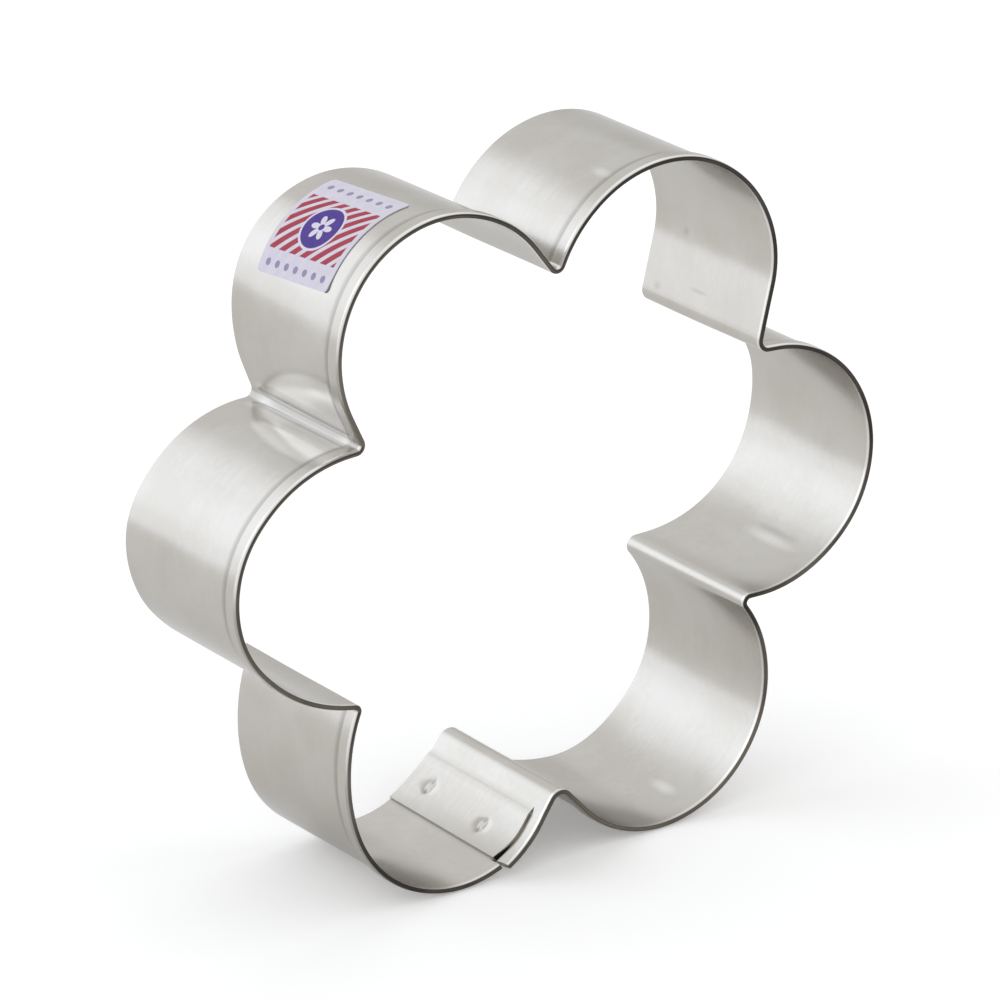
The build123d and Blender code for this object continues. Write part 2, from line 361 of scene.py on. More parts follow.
edge_round = 0.06
support = 0.05
crease_reach = 1.3
crease_rows = body_front + np.linspace(0, crease_reach, 9)
body_rows = spread(crease_rows[-1] + 0.3, back - edge_round - support, row_closeness)
body_rows = np.concatenate([crease_rows, body_rows])
print("rows over the depth:", len(body_rows))

# %% The closed line of the section


def arc(centre_offset, centre_depth, radius, start, end, count):
    """Points on a circle in the section's plane, from one angle to another in degrees."""
    angle = np.radians(np.linspace(start, end, count))
    return np.stack([centre_offset + radius * np.cos(angle), centre_depth + radius * np.sin(angle)], axis=-1)


def straight(offset, depths):
    """Points of one offset at these depths."""
    return np.stack([np.full(len(depths), float(offset)), depths], axis=-1)


fold_radius = sheet
roll_depth = 0.65
press_round = 0.14
fold_start, roll_end = front + fold_radius, front + roll_depth
inner_line, inner_fade = 0.30, 0.12
hem_inner_rows = np.linspace(hem_back, fold_start + inner_line + inner_fade, 4)
hem_inner_rows = np.append(hem_inner_rows, [fold_start + inner_line, fold_start + support])
hem_outer_rows = np.linspace(roll_end + support, hem_back - press_round - support, 4)
inner_fold = arc(half_sheet, fold_start, fold_radius, 180, 270, 8)
outer_roll = arc(0, 0, 1.0, -90, 0, 12)[1:] * [fold_radius, roll_depth] + [half_sheet, roll_end]
press_line = arc(hem_offset - press_round, hem_back - press_round, press_round, 0, 90, 5)
hem_line = np.concatenate([
    straight(-half_sheet, hem_inner_rows),
    inner_fold,
    outer_roll,
    straight(hem_offset, hem_outer_rows),
    press_line,
    [[half_sheet + 0.05, hem_back], [half_sheet, hem_back]],
])
edge_line = np.concatenate([
    arc(half_sheet - edge_round, back - edge_round, edge_round, 0, 90, 4),
    arc(edge_round - half_sheet, back - edge_round, edge_round, 90, 180, 4),
])
body_line = np.concatenate([
    straight(half_sheet, body_rows), edge_line, straight(-half_sheet, body_rows[::-1]),
])
section_line = np.concatenate([hem_line, body_line])
steps = np.abs(np.diff(np.append(section_line, section_line[:1], axis=0) @ [1, 1j]))
section_run = np.concatenate([[0], np.cumsum(steps)])


def ease(value, low, high):
    """A smooth step from 0 at low to 1 at high: three times the share squared less twice its cube."""
    share = np.clip((value - low) / (high - low), 0, 1)
    return share * share * (3 - 2 * share)


ahead = np.roll(section_line, -1, axis=0) - np.roll(section_line, 1, axis=0)
facing = np.degrees(np.arctan2(-ahead[:, 0], ahead[:, 1]))
# The rim at the fold is painted dark, as painted shade and a painted dark reflection.
outer_rim_shade_angles, inner_rim_shade_angles, roll_angles = (20, 36), (4, 30), (1, 7)
inner_highlight_strength = 0.45
shear_far, shear_near = 0.12, 0.03
crease_start, crease_end, crease_slack = 0.62, 1.28, 0.03
near_front = section_line[:, 1] < roll_end - 1e-6
toward_front = np.where(near_front, np.minimum(-facing, 180 + facing), 0)
outward_side = section_line[:, 0] > half_sheet
outer_rim_shade = ease(toward_front, *outer_rim_shade_angles)
inner_rim_shade = ease(toward_front, *inner_rim_shade_angles)
rim_shade_mark = np.where(outward_side, outer_rim_shade, inner_rim_shade)
# Painted highlight on the outer roll of the rim and on a thin line of its inner face.
rolled_highlight = np.where(outward_side & near_front, ease(toward_front, *roll_angles), 0)
past_line = section_line[:, 1] - fold_start - inner_line
inner_highlight = np.where(section_line[:, 0] < 0, inner_highlight_strength * (1 - ease(past_line, 0, inner_fade)), 0)
inner_highlight = inner_highlight * (1 - rim_shade_mark)
shear_mark = ease(section_line[:, 1], back - shear_far, back - shear_near)
# Painted shade in the crease behind the hem, where the hem's edge meets the wall.
behind_hem = np.where(section_line[:, 0] > 0, section_line[:, 1] - hem_back, 9.0)
crease_shade_mark = np.where(behind_hem > -crease_slack, 1 - ease(behind_hem, crease_start, crease_end), 0)
print("points in the section:", len(section_line), "round length", round(float(section_run[-1]), 2), "mm")

# %% [markdown]
# ## Hand-bent metal is not perfect
# The wall gets a small push along its outward side, the same for both faces, as a function of distance
# and depth. Long low waves are what the bending rolls leave, and the thin cutting edge leans in or out a
# little in several places. Beside the upper left valley the bending tool has pressed two shallow dents,
# and their area serves again as the mark of a painted highlight that makes the dents paler.

# %% Waves and pressed dents
runs_in_petal = 6
valley_tips = (run_ends - run_lengths / 2)[runs_in_petal:-1:runs_in_petal]
left_valley = valley_tips[3]
print("the upper left valley is at", round(float(left_valley), 2), "mm along the strip")


long_count, long_slant, long_height = 11, 0.24, 0.018
cross_count, cross_slant, cross_start, cross_height = 29, -0.31, 1.3, 0.009


def waves(distance, depth):
    """Two sines in slanting directions, a few hundredths of a millimetre high, never above the plain wall.

    Each has so many waves round the flower, and slants by so many radians for each mm of depth.
    """
    long_wave = np.sin(2 * np.pi * long_count * distance / total + long_slant * depth) - 1
    cross_wave = np.sin(2 * np.pi * cross_count * distance / total + cross_slant * depth + cross_start) - 1
    return long_height * long_wave + cross_height * cross_wave


dent_depth = 0.010
rim_fade, edge_fade = (-9.2, -7.6), (-5.6, -3.2)
upper_near, upper_far, upper_curve, upper_middle, upper_soft = (1.6, 2.6), 8.0, 0.026, -7, 0.9
lower_near, lower_far, lower_curve, lower_middle, lower_soft = (2.6, 3.4), 6.4, 0.016, -6, 0.8


def dent(past, depth, near, far, curve, middle, soft):
    """One soft-edged area that starts near the valley and ends at a far edge curved like a parabola."""
    far_edge = far - curve * (depth - middle) ** 2
    return ease(past, *near) * ease(far_edge - past, 0.0, soft)


def dent_areas(distance, depth):
    """The dent on each side of the valley.

    Both fade out toward the rim, and the lower one also toward the cutting edge.
    """
    before, after = left_valley - distance, distance - left_valley
    behind_rim = ease(depth, *rim_fade)
    upper = dent(before, depth, upper_near, upper_far, upper_curve, upper_middle, upper_soft) * behind_rim
    lower = dent(after, depth, lower_near, lower_far, lower_curve, lower_middle, lower_soft) * behind_rim
    return upper, lower * ease(-depth, *edge_fade)


lean_places = (14, 26, 54, 70, 80, 168, 184, 191, 221, 263, 288.5)
lean_widths = (6, 6, 7, 7, 4, 12, 5, 6, 5, 11, 3.2)
lean_heights = (-0.55, -0.45, -0.30, -0.18, 0.30, -0.42, -0.15, -0.55, 0.25, 0.30, -0.30)
lean_growth = 1.3


def lean(distance, depth):
    """How far the wall leans out: hills along the strip, each with a place, a width and a height.

    Nothing moves at the stiff hem, and behind it the lean grows steadily toward the cutting edge.
    """
    share = np.clip((depth - hem_back) / (back - hem_back), 0, 1) ** lean_growth
    hills = zip(lean_places, lean_widths, lean_heights)
    return share * sum(height * hill(distance, place, width) for place, width, height in hills)


def push(distance, depth):
    """How far the wall stands out of its plain place, in millimetres."""
    upper, lower = dent_areas(distance, depth)
    return waves(distance, depth) + lean(distance, depth) - dent_depth * upper - dent_depth * lower


# %% Points of the wall
root = total - seam_from_valley + joggle
hem_end = total - seam_from_valley - lap - butt_gap
lap_begin, lap_end = total - seam_from_valley - lap, total - seam_from_valley


def station_closeness(distance):
    """Stations for each mm: 1.4, and more in tight bends, by the dents, over the welds and by the lap."""
    spot = np.mod(distance, total)
    bend = np.abs(run_bends[np.searchsorted(run_ends, spot).clip(0, len(runs) - 1)])
    extra = 3.0 * hill(spot, left_valley, 6.0)
    extra = extra + sum(4 * hill(spot, place, 1.0) for place in weld_along.values())
    extra = extra + 4 * hill(spot, hem_end, 0.8)
    return 1.4 + bend / np.radians(8) + extra


def wall(distances, line, shift=0.0):
    """Distance, offset and depth of every station by every point of the section, pushed by the waves."""
    distance, depth = distances[:, None], line[None, :, 1]
    offset = line[None, :, 0] + shift
    return distance, offset + push(np.mod(distance, total), depth), np.broadcast_to(depth, offset.shape)


whole_stations = spread(root - total, hem_end, station_closeness)
print("stations along the strip:", len(whole_stations))

# %% [markdown]
# ## One surface out of four grids
# The wall is one grid. At the seam the strip's first end is slit: behind the slit its body steps inwards
# by one sheet and lies under the last end, and in front of it the free end of the hem is bent a little
# forward. The last end has no hem on that stretch. These are three more grids that begin with the same
# points as the wall, so the doubles can be merged, and small caps close the ends. Faces are turned
# outwards once the surface is closed. The slit starts as a hairline here, narrower than in the solids,
# and both front edges behind it reach forward a little, so that what opens is mostly the wedge that the
# bent hem leaves.

# %% A gatherer of grids
import bmesh


class Surface:
    """Points, faces, flat coordinates and marks gathered from several grids that share their borders."""

    def __init__(self, mark_names):
        self.mark_names = mark_names
        self.points, self.marks, self.faces, self.flat = [], [], [], []
        self.count = 0

    def grid(self, spots, flat, marks):
        """Add rows by columns of points, its last column joined to the first. Returns where it starts.

        flat holds the flat coordinates of the same points, with the first column once more at its far end.
        """
        rows, columns = spots.shape[:2]
        row, column = np.indices((rows - 1, columns)).reshape(2, -1)
        beside = (column + 1) % columns
        corners = [row * columns + column, (row + 1) * columns + column]
        corners += [(row + 1) * columns + beside, row * columns + beside]
        self.faces += (np.stack(corners, axis=1) + self.count).tolist()
        around = [flat[row, column], flat[row + 1, column], flat[row + 1, column + 1], flat[row, column + 1]]
        self.flat.append(np.stack(around, axis=1).reshape(-1, 2))
        self.points.append(spots.reshape(-1, 3))
        marks = [np.broadcast_to(mark, (rows, columns)).ravel() for mark in marks]
        self.marks.append(np.stack(marks, axis=-1) if marks else np.zeros((rows * columns, 0)))
        first = self.count
        self.count += rows * columns
        return first

    def cap(self, corners, spot):
        """Add one face over these point numbers, with one flat coordinate for all of it."""
        self.faces.append([int(corner) for corner in corners])
        self.flat.append(np.tile(np.array(spot, float), (len(corners), 1)))

    def piece(self, name, sharp_degrees=38):
        """Make the mesh: points within a thousandth of a millimetre merge, and all faces turn outwards."""
        mesh = bpy.data.meshes.new(name)
        mesh.from_pydata(np.concatenate(self.points).tolist(), [], self.faces)
        layer = mesh.uv_layers.new(name="flat")
        layer.data.foreach_set("uv", (np.concatenate(self.flat) * MM).ravel())
        for number, mark in enumerate(self.mark_names):
            attribute = mesh.attributes.new(mark, "FLOAT", "POINT")
            attribute.data.foreach_set("value", np.concatenate(self.marks)[:, number].astype(np.float32))
        shape = bmesh.new()
        shape.from_mesh(mesh)
        bmesh.ops.remove_doubles(shape, verts=shape.verts, dist=1e-6)
        bmesh.ops.recalc_face_normals(shape, faces=shape.faces)
        open_edges = sum(not edge.is_manifold for edge in shape.edges)
        shape.to_mesh(mesh)
        shape.free()
        mesh.shade_smooth()
        mesh.set_sharp_from_angle(angle=np.radians(sharp_degrees))
        made = bpy.data.objects.new(name, mesh)
        bpy.context.scene.collection.objects.link(made)
        triangles = sum(len(face.vertices) - 2 for face in mesh.polygons)
        print(name, "triangles", triangles, "open edges", open_edges)
        return made


# %% The wall
hem_count = len(hem_line)
surface = Surface(["fold", "shear", "painted_dent_light", "painted_highlight", "painted_shade", "painted_deep_shade"])


def unrolled(along, across):
    """Flat coordinates of a grid, in millimetres: how far along the strip, and how far round the section."""
    return np.stack(np.meshgrid(along, across, indexing="ij"), axis=-1)


# The dents' painted highlight: its dull spot, its fading toward the rim and the stretch between the dents.
dull_past, dull_width, dull_depth, dull_height = 3.5, 0.8, -3.0, 3.5
spot_dulled, rim_dulled, past_dulled = 0.45, 0.45, 0.35
between_reach, between_loss, between_soft, between_share = 3.6, 1.2, 1.2, 0.6


def dent_highlight(distances, line):
    """Painted highlight on each point of the outer face: most in the dents, and less between them.

    The lower dent has a dull spot, and both dents are duller toward the rim. The stretch between them narrows
    and fades out toward the cutting edge. Past the valley it is duller on the rim's half.
    """
    distance, depth = np.mod(distances, total)[:, None], line[None, :, 1]
    upper, lower = dent_areas(distance, depth)
    past = distance - left_valley
    dull_spot = hill(past, dull_past, dull_width) * hill(depth, dull_depth, dull_height)
    lower = lower * (1 - spot_dulled * dull_spot)
    dents = np.maximum(upper, lower) * (1 - rim_dulled * ease(-depth, -0.5, 8.0))
    reach = between_reach - between_loss * ease(depth, 5.0, 8.0)
    between = ease(reach - np.abs(past), 0, between_soft) * ease(depth, *rim_fade)
    between = between_share * between * ease(-depth, -10.0, -8.2)
    between = between * (1 - past_dulled * ease(past, 0.4, 1.0) * ease(-depth, -2.5, -0.5))
    return np.where(line[None, :, 0] > 0, np.maximum(dents, between), 0)


# Painted shade on the fold of the upper left valley and at the lap's step.
valley_shade_width, valley_shade_least, valley_shade_added = 0.6, 0.9, 0.4
lap_shade_share, lap_shade_reach, lap_slack = 0.55, 0.75, 0.02


def valley_shade(distances, line):
    """Painted shade on the fold of the upper left valley, dimming its highlight, less so near its two ends.
    """
    past, depth = np.mod(distances, total)[:, None] - left_valley, line[None, :, 1]
    middle_part = ease(-depth, -8.0, -5.0) * ease(depth, -8.0, -5.5)
    painted_dark = hill(past, 0.0, valley_shade_width) * (valley_shade_least + valley_shade_added * middle_part)
    return np.where(line[None, :, 0] > 0, painted_dark, 0)


def lap_shade(distances, line):
    """Painted shade on the inner face, gathered at the step where the first end's edge lies on the wall."""
    before = lap_begin - np.mod(distances, total)[:, None]
    painted_dark = lap_shade_share * ease(-before, -lap_shade_reach, 0.0)
    return np.where((line[None, :, 0] < 0) & (before > -lap_slack), painted_dark, 0)


# The roll's painted highlight where it looks up, and painted shade where it looks down.
facing_up_start, facing_up_full = -0.1, 0.4
roll_shade_strength = 0.9


def facing_up(distances):
    """Painted highlight on the rolled rim: full where the outer face looks up, none where it looks down.

    It is a smooth step of the height of the face's unit vector.
    """
    nothing = np.zeros_like(distances)
    upward = (room(distances, nothing + 1, nothing) - room(distances, nothing, nothing))[:, 2] / MM
    return ease(upward, facing_up_start, facing_up_full)[:, None]


def rim_light_marks(distances, count):
    """The painted highlight of the rim, and the painted shade of its roll where it looks down."""
    painted_highlight = rolled_highlight[:count] * facing_up(distances) + inner_highlight[:count]
    return painted_highlight, roll_shade_strength * rolled_highlight[:count] * (1 - facing_up(distances))


wall_spots = room(*wall(whole_stations, section_line))
# The rim's painted highlight and the painted shade of its roll go into the wall's marks.
wall_highlight, wall_roll_shade = rim_light_marks(whole_stations, len(section_line))
# Painted shade in the crease, on the valley's fold and at the lap.
wall_shade = np.maximum(crease_shade_mark, valley_shade(whole_stations, section_line))
wall_shade = np.maximum(wall_shade, lap_shade(whole_stations, section_line)) + wall_roll_shade
wall_marks = [rim_shade_mark, shear_mark, dent_highlight(whole_stations, section_line), wall_highlight, wall_shade, 0.0]
wall_first = surface.grid(wall_spots, unrolled(whole_stations, section_run), wall_marks)
columns = len(section_line)
root_cap = [wall_first + number for number in (hem_count - 1, hem_count, columns - 1, 0)]
surface.cap(root_cap, (root, hem_width))
last_row = wall_first + (len(whole_stations) - 1) * columns
hem_cap = [last_row + number for number in [*range(hem_count + 1), columns - 1]]
surface.cap(hem_cap, (hem_end, hem_width))

# %% The last end, without its hem
# Painted shade: black in the slit between the sheets, and grey spots at the weld ends.
slit_shade_step = 0.1
slit_shade_near, slit_shade_far = 0.5, 0.9
end_shade_size, end_shade_share = 0.30, 0.5
under_tail = lap_begin + np.array([-slit_shade_step, 0.0, slit_shade_step])
outer_stations = np.sort(np.append(spread(hem_end, lap_end, station_closeness), under_tail))


hollow_long, hollow_wide = 0.62, 0.66
hollow_floor, hollow_rim = 0.72, 1.25
hollow_depth = 0.10
forward_fade = 4


def weld_hollow(distance, depth):
    """How deep the two oval hollows over the welds are, as a share, from the oval distance to each middle."""
    deep = 0.0
    for name in weld_places:
        apart = (distance - weld_along[name]) / (hollow_long * weld_length)
        aside = (depth - weld_depths[name]) / (hollow_wide * weld_width)
        deep = np.maximum(deep, 1 - ease(np.hypot(apart, aside), hollow_floor, hollow_rim))
    return deep


def lapped(distances, shift, sunk_side, forward=0.0):
    """The body's part of the section at these stations, with the weld hollows in one of its two faces.

    forward moves its front edge on toward the rim, and the rows behind it less and less.
    """
    distance, offset, depth = wall(distances, body_line, shift)
    on_side = np.sign(body_line[None, :, 0]) == sunk_side
    hollow = np.where(on_side, weld_hollow(np.mod(distance, total), depth), 0)
    depth = depth - forward * (1 - ease(depth, body_front, body_front + forward_fade))
    return room(distance, offset - sunk_side * hollow_depth * hollow, depth)


def slit_shade(distances):
    """Painted shade between the two sheets: black on the inner face of the last end's front edge."""
    covered = ease(distances, lap_begin - slit_shade_step, lap_begin + slit_shade_step)[:, None]
    near_edge = 1 - ease(body_line[None, :, 1], body_front + slit_shade_near, body_front + slit_shade_far)
    return np.where(body_line[None, :, 0] < 0, covered * near_edge, 0)


def weld_end_shade(distances, line):
    """Painted shade: a grey spot at each end of each weld, on the inner face."""
    distance, depth = np.mod(distances, total)[:, None], line[None, :, 1]
    spots = 0.0
    for name in weld_places:
        ends = np.abs(np.abs(distance - weld_along[name]) - weld_length / 2)
        spots = spots + hill(np.hypot(ends, depth - weld_depths[name]), 0, end_shade_size)
    return np.where(line[None, :, 0] < 0, end_shade_share * spots, 0)


body_marks = [0.0, shear_mark[hem_count:], 0.0, 0.0]


band_clearance, tuck_start = 0.12, 0.3


def tucked(distances):
    """How far the last end's front edge reaches forward of the slit: nearly to the bent band.

    The band's own gap is a small bend and then its tilt times the reach, and a clearance is taken off.
    """
    reach = np.maximum(root - np.mod(distances, total) - band_bend * band_tilt / 2, 0)
    gap = np.maximum(reach * np.tan(band_tilt) - band_clearance, 0)
    return gap * ease(np.mod(distances, total), hem_end, hem_end + tuck_start)


outer_spots = lapped(outer_stations, 0.0, 1, tucked(outer_stations)[:, None])
outer_marks = [*body_marks, lap_shade(outer_stations, body_line), slit_shade(outer_stations)]
outer_first = surface.grid(outer_spots, unrolled(outer_stations, section_run[hem_count:]), outer_marks)
outer_end = outer_first + (len(outer_stations) - 1) * len(body_line)
surface.cap(range(outer_end, outer_end + len(body_line)), (lap_end, hem_width))

# %% The first end, stepped inwards
tail_stations = spread(root, lap_begin, station_closeness)
stepped = -layer_step * ease(root - tail_stations, 0, joggle)[:, None]
tail_share = (root - tail_stations) / (root - lap_begin)
middle_bulge, end_reach = 0.28, 0.42
tail_bulge = middle_bulge * np.sin(np.pi * tail_share)[:, None] ** 2
tail_forward = tail_bulge + end_reach * ease(tail_share, 0.15, 0.9)[:, None]
tail_spots = lapped(tail_stations, stepped, -1, tail_forward)
tail_marks = [*body_marks, 0.0, weld_end_shade(tail_stations, body_line)]
tail_first = surface.grid(tail_spots, unrolled(tail_stations, section_run[hem_count:]), tail_marks)
tail_end = tail_first + (len(tail_stations) - 1) * len(body_line)
surface.cap(range(tail_end, tail_end + len(body_line)), (lap_begin, hem_width))

# %% The free end of the hem, bent forward
band_reach = np.linspace(0, joggle + lap - 0.1, 40)


def bent_band(reach, line):
    """Places of the band: round a centre in front of it until the tilt is reached, then straight on.

    The turned angle is the reach over the middle radius, and what is left of the reach goes along the tilt.
    """
    middle_radius = band_bend + hem_width / 2
    angle = np.minimum(reach[:, None] / middle_radius, band_tilt)
    rest = reach[:, None] - angle * middle_radius
    radius = band_bend + (line[None, :, 1] - front)
    back_along = np.sin(angle) * radius + rest * np.cos(band_tilt)
    depth = front - band_bend + np.cos(angle) * radius - rest * np.sin(band_tilt)
    return back_along, depth


back_along, band_depth = bent_band(band_reach, hem_line)
band_distance = root - back_along
band_offset = hem_line[None, :, 0] + push(np.mod(band_distance, total), hem_line[None, :, 1])
band_spots = room(band_distance, band_offset, band_depth)
# The band's rim gets the same painted highlight and painted shade.
band_highlight, band_roll_shade = rim_light_marks(root - band_reach, hem_count)
band_marks = [rim_shade_mark[:hem_count], 0.0, 0.0, band_highlight, band_roll_shade, 0.0]
band_first = surface.grid(band_spots, unrolled(root - band_reach, section_run[:hem_count + 1]), band_marks)
band_end = band_first + (len(band_reach) - 1) * hem_count
surface.cap(range(band_end, band_end + hem_count), (lap_begin, 0))
strip = surface.piece("tinplate_strip")
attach(strip, "root")
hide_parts("cutter_strip")

# %% [markdown]
# ## The spot welds
# Two electrodes squeeze the lapped sheets and melt them together, which leaves an oval nugget a little
# below the sheets, with a small pit near each end. A nugget is a surface of revolution squeezed into an
# oval: a profile from the middle of one face, over the rim, to the middle of the other face, carried
# round.

# %% Weld nuggets
inner_face = -half_sheet - layer_step + weld_dish
outer_face = half_sheet - weld_dish
pit_places = (-0.40, 0.40)
pit_width, pit_depth = 0.26, 0.05
nugget_swell = 0.012
rings, round_points = 13, 49


def nugget(name, node):
    """One weld. Its flat coordinates are the distance from its middle along the strip and across it."""
    share = np.concatenate([np.linspace(0, 1, rings), np.linspace(1, 0, rings)])
    base = np.repeat([inner_face, outer_face], rings)
    side = np.repeat([-1.0, 1.0], rings)[:, None]
    turn = np.linspace(0, 2 * np.pi, round_points)
    east = share[:, None] * weld_length / 2 * np.cos(turn)
    north = share[:, None] * weld_width / 2 * np.sin(turn)
    pits = sum(hill(np.hypot(east - weld_length * spot, north), 0, pit_width) for spot in pit_places)
    swell = nugget_swell * (1 - share[:, None] ** 2) - pit_depth * pits
    distance, depth = weld_along[name] + east, weld_depths[name] + north
    offset = base[:, None] + side * swell + push(np.mod(distance, total), depth)
    made = Surface(["pit"])
    made.grid(room(distance, offset, depth)[:, :-1], np.stack([east, north], axis=-1), [pits[:, :-1]])
    piece = made.piece(name + "_nugget")
    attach(piece, "root")
    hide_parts(node)
    return piece


nuggets = [nugget("back_weld", "spot_weld_back"), nugget("front_weld", "spot_weld_front")]

# %% [markdown]
# ## The label
# A small printed paper label is stuck round the crown of the upper left petal, a little out of square. It
# is a thin closed sheet: for each row down the label, a loop runs over its face and back under it. Its
# lower front corner has come unstuck and lifts. Below it lies the film of glue, almost as large as the
# label and thinner.

# %% Sheets stuck round the petal
label_height, label_width = 14.2, 13.2
label_corner = 0.5
label_paper, label_glue = 0.08, 0.03
label_depth, label_bearing = 0.85, 5.2
label_turn = np.radians(3.8)
label_rows, label_columns = 61, 51
corner_height, corner_start, corner_end = 0.09, -2.6, -0.2
glue_bite, glue_gap, glue_inset = 0.01, 0.004, 0.02
label_petal = petal_count // 2 - 1
label_crown_run = 1 + runs_in_petal * (label_petal + 1) + 2
crown_size = crown(label_petal, stance)[1]
label_face = crown_size + half_sheet
label_chord = 2 * label_face * np.sin(label_height / 2 / label_face)
crown_begin = label_petal * pitch + stance - crown_half_angle
label_middle = label_petal * pitch + stance + label_bearing


def stuck(down, toward, lift):
    """Room points of a place on the label: so far down from its middle, so far toward the front, so high.

    The flat place is turned by the label's turn, then its chord down the petal becomes an angle: its arcsine.
    """
    chord_place = down * np.cos(label_turn) - toward * np.sin(label_turn)
    aside = down * np.sin(label_turn) + toward * np.cos(label_turn)
    bearing = label_middle + np.degrees(np.arcsin(chord_place / label_face))
    distance = run_begins[label_crown_run] + np.radians(bearing - crown_begin) * crown_size
    depth = label_depth - aside
    return room(distance, half_sheet + lift + push(distance, depth), depth)


def corner_lift(down, toward):
    """How far the unstuck corner stands up: the ease squared of the way into the corner."""
    reach = down + toward - (label_chord + label_width) / 2
    return corner_height * ease(reach, corner_start, corner_end) ** 2


def stuck_sheet(name, low, high, inset, lifting):
    """A closed sheet between two heights over the metal, with round corners.

    The half width of a row falls along a quarter circle over the last half millimetre of the height.
    """
    half_height, half_width = label_chord / 2 - inset, label_width / 2 - inset
    down = np.sin(np.linspace(-np.pi / 2, np.pi / 2, label_rows)) * half_height
    into = np.maximum(np.abs(down) - (half_height - label_corner), 0)
    reach = half_width - label_corner + np.sqrt(np.maximum(label_corner**2 - into**2, 0))
    share = np.sin(np.linspace(-np.pi / 2, np.pi / 2, label_columns))
    loop = np.concatenate([share, share[::-1]])
    toward = reach[:, None] * loop
    down = np.broadcast_to(down[:, None], toward.shape)
    height = np.repeat([high, low], len(share)) + lifting * corner_lift(down, toward)
    made = Surface([])
    flat = np.stack([down, toward], axis=-1)
    made.grid(stuck(down, toward, height), np.concatenate([flat, flat[:, :1]], axis=1), [])
    rows, columns = toward.shape
    for row in (0, rows - 1):
        made.cap(range(row * columns, (row + 1) * columns), flat[row, 0])
    return made.piece(name)


label = stuck_sheet("printed_label", label_glue, label_glue + label_paper, 0.0, 1.0)
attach(label, "root")
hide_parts("label_film")
glue = stuck_sheet("label_glue", -glue_bite, label_glue - glue_gap, glue_inset, 0.0)
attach(glue, "root")
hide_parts("label_adhesive")

# %% [markdown]
# ## Materials as small networks
# A material here is a network of nodes round one shader. The small class below adds a node or a link in
# one line, so that each network reads like a sum. Numbers that are the same all over a piece are set on
# the shader itself.

# %% A short way to wire nodes


class Wiring:
    """A material, its node tree and its main shader."""

    def __init__(self, name):
        self.material = bpy.data.materials.new(name)
        self.material.use_nodes = True
        self.tree = self.material.node_tree
        self.shader = self.tree.nodes["Principled BSDF"]

    def add(self, kind, sockets=(), **settings):
        """A new node with these settings. Sockets get a value or a link."""
        node = self.tree.nodes.new(kind)
        for key, value in settings.items():
            setattr(node, key, value)
        for key, value in dict(sockets).items():
            self.feed(node.inputs[key], value)
        return node

    def feed(self, socket, value):
        """Set a socket to a number or colour, or link it to another node's output."""
        if isinstance(value, bpy.types.NodeSocket):
            self.tree.links.new(value, socket)
        else:
            socket.default_value = value

    def math(self, operation, *values):
        """The output of one sum."""
        return self.add("ShaderNodeMath", enumerate(values), operation=operation).outputs[0]

    def blend(self, share, first, second):
        """The first colour turning into the second one as the share goes from 0 to 1."""
        node = self.add("ShaderNodeMix", {0: share, 6: first, 7: second}, data_type="RGBA")
        return node.outputs[2]

    def step(self, value, low, high, start=0.0, end=1.0):
        """A smooth step of a value from one number to another."""
        sockets = {0: value, 1: low, 2: high, 3: start, 4: end}
        return self.add("ShaderNodeMapRange", sockets, interpolation_type="SMOOTHSTEP").outputs[0]

    def noise(self, place, scale, detail=3.0):
        """Cloudy noise from 0 to 1, with its centre near one half."""
        sockets = {"Vector": place, "Scale": scale, "Detail": detail}
        return self.add("ShaderNodeTexNoise", sockets).outputs[0]

    def stretched(self, place, *scale):
        """A place multiplied by its own factor along each axis."""
        return self.add("ShaderNodeMapping", {"Vector": place, "Scale": scale}).outputs[0]

    def smudge(self, place, middle, size):
        """One inside an oval round its middle, and zero outside, with a soft edge."""
        away = self.add("ShaderNodeVectorMath", {0: place, 1: middle}, operation="SUBTRACT").outputs[0]
        share = self.add("ShaderNodeVectorMath", {0: away, 1: size}, operation="DIVIDE").outputs[0]
        reach = self.add("ShaderNodeVectorMath", {0: share}, operation="LENGTH").outputs["Value"]
        return self.step(reach, 0.1, 1.0, 1.0, 0.0)

    def mark(self, name):
        """A number that the mesh carries at its points."""
        return self.add("ShaderNodeAttribute", attribute_name=name).outputs["Fac"]

    def bump(self, height, distance, strength=1.0, below=None):
        """A bump from a height, over another bump when one is given."""
        sockets = {"Height": height, "Distance": distance, "Strength": strength}
        if below is not None:
            sockets["Normal"] = below
        return self.add("ShaderNodeBump", sockets).outputs[0]


# %% [markdown]
# ## Tinplate
# Tinplate is steel under a thin coat of tin: a satin, slightly warm grey metal. Rolling leaves fine lines
# along the strip, and the tin freezes into faint clouds. The rim at the fold is painted dark brown, as
# painted shade and a painted dark reflection. Its roll gets a painted highlight where it looks up and
# painted shade where it looks down. The cutting edge is sheared bare. The dents by the valley get a
# painted highlight, and painted shade lies in the crease behind the hem, on the fold of that valley, at
# the lap, as black in the slit and as grey spots at the weld ends. A few soft scuffs are darker than the
# rest, one dark patch is a painted shade line, and a few painted glints are paler. The network reads the
# marks of the mesh for the rim, the edge, the dents and the painted shade, the strip's own flat
# coordinates for the rolling lines, scuffs and glints, and Object coordinates for the clouds.

# %% The strip's finish
tin = Wiring("tinplate")
flat_place = tin.add("ShaderNodeUVMap", uv_map="flat").outputs[0]
object_place = tin.add("ShaderNodeTexCoord").outputs["Object"]
clouds = tin.noise(object_place, 140.0)
mottle = tin.noise(object_place, 1400.0, 2.0)
rolling = tin.noise(tin.stretched(flat_place, 60.0, 5200.0, 1.0), 1.0, 4.0)


def inner_spot(along, depth):
    """The flat coordinates of a place on the inner face, counted back from the end of the section."""
    return (along * MM, (section_run[-1] - (depth - body_front)) * MM, 0)


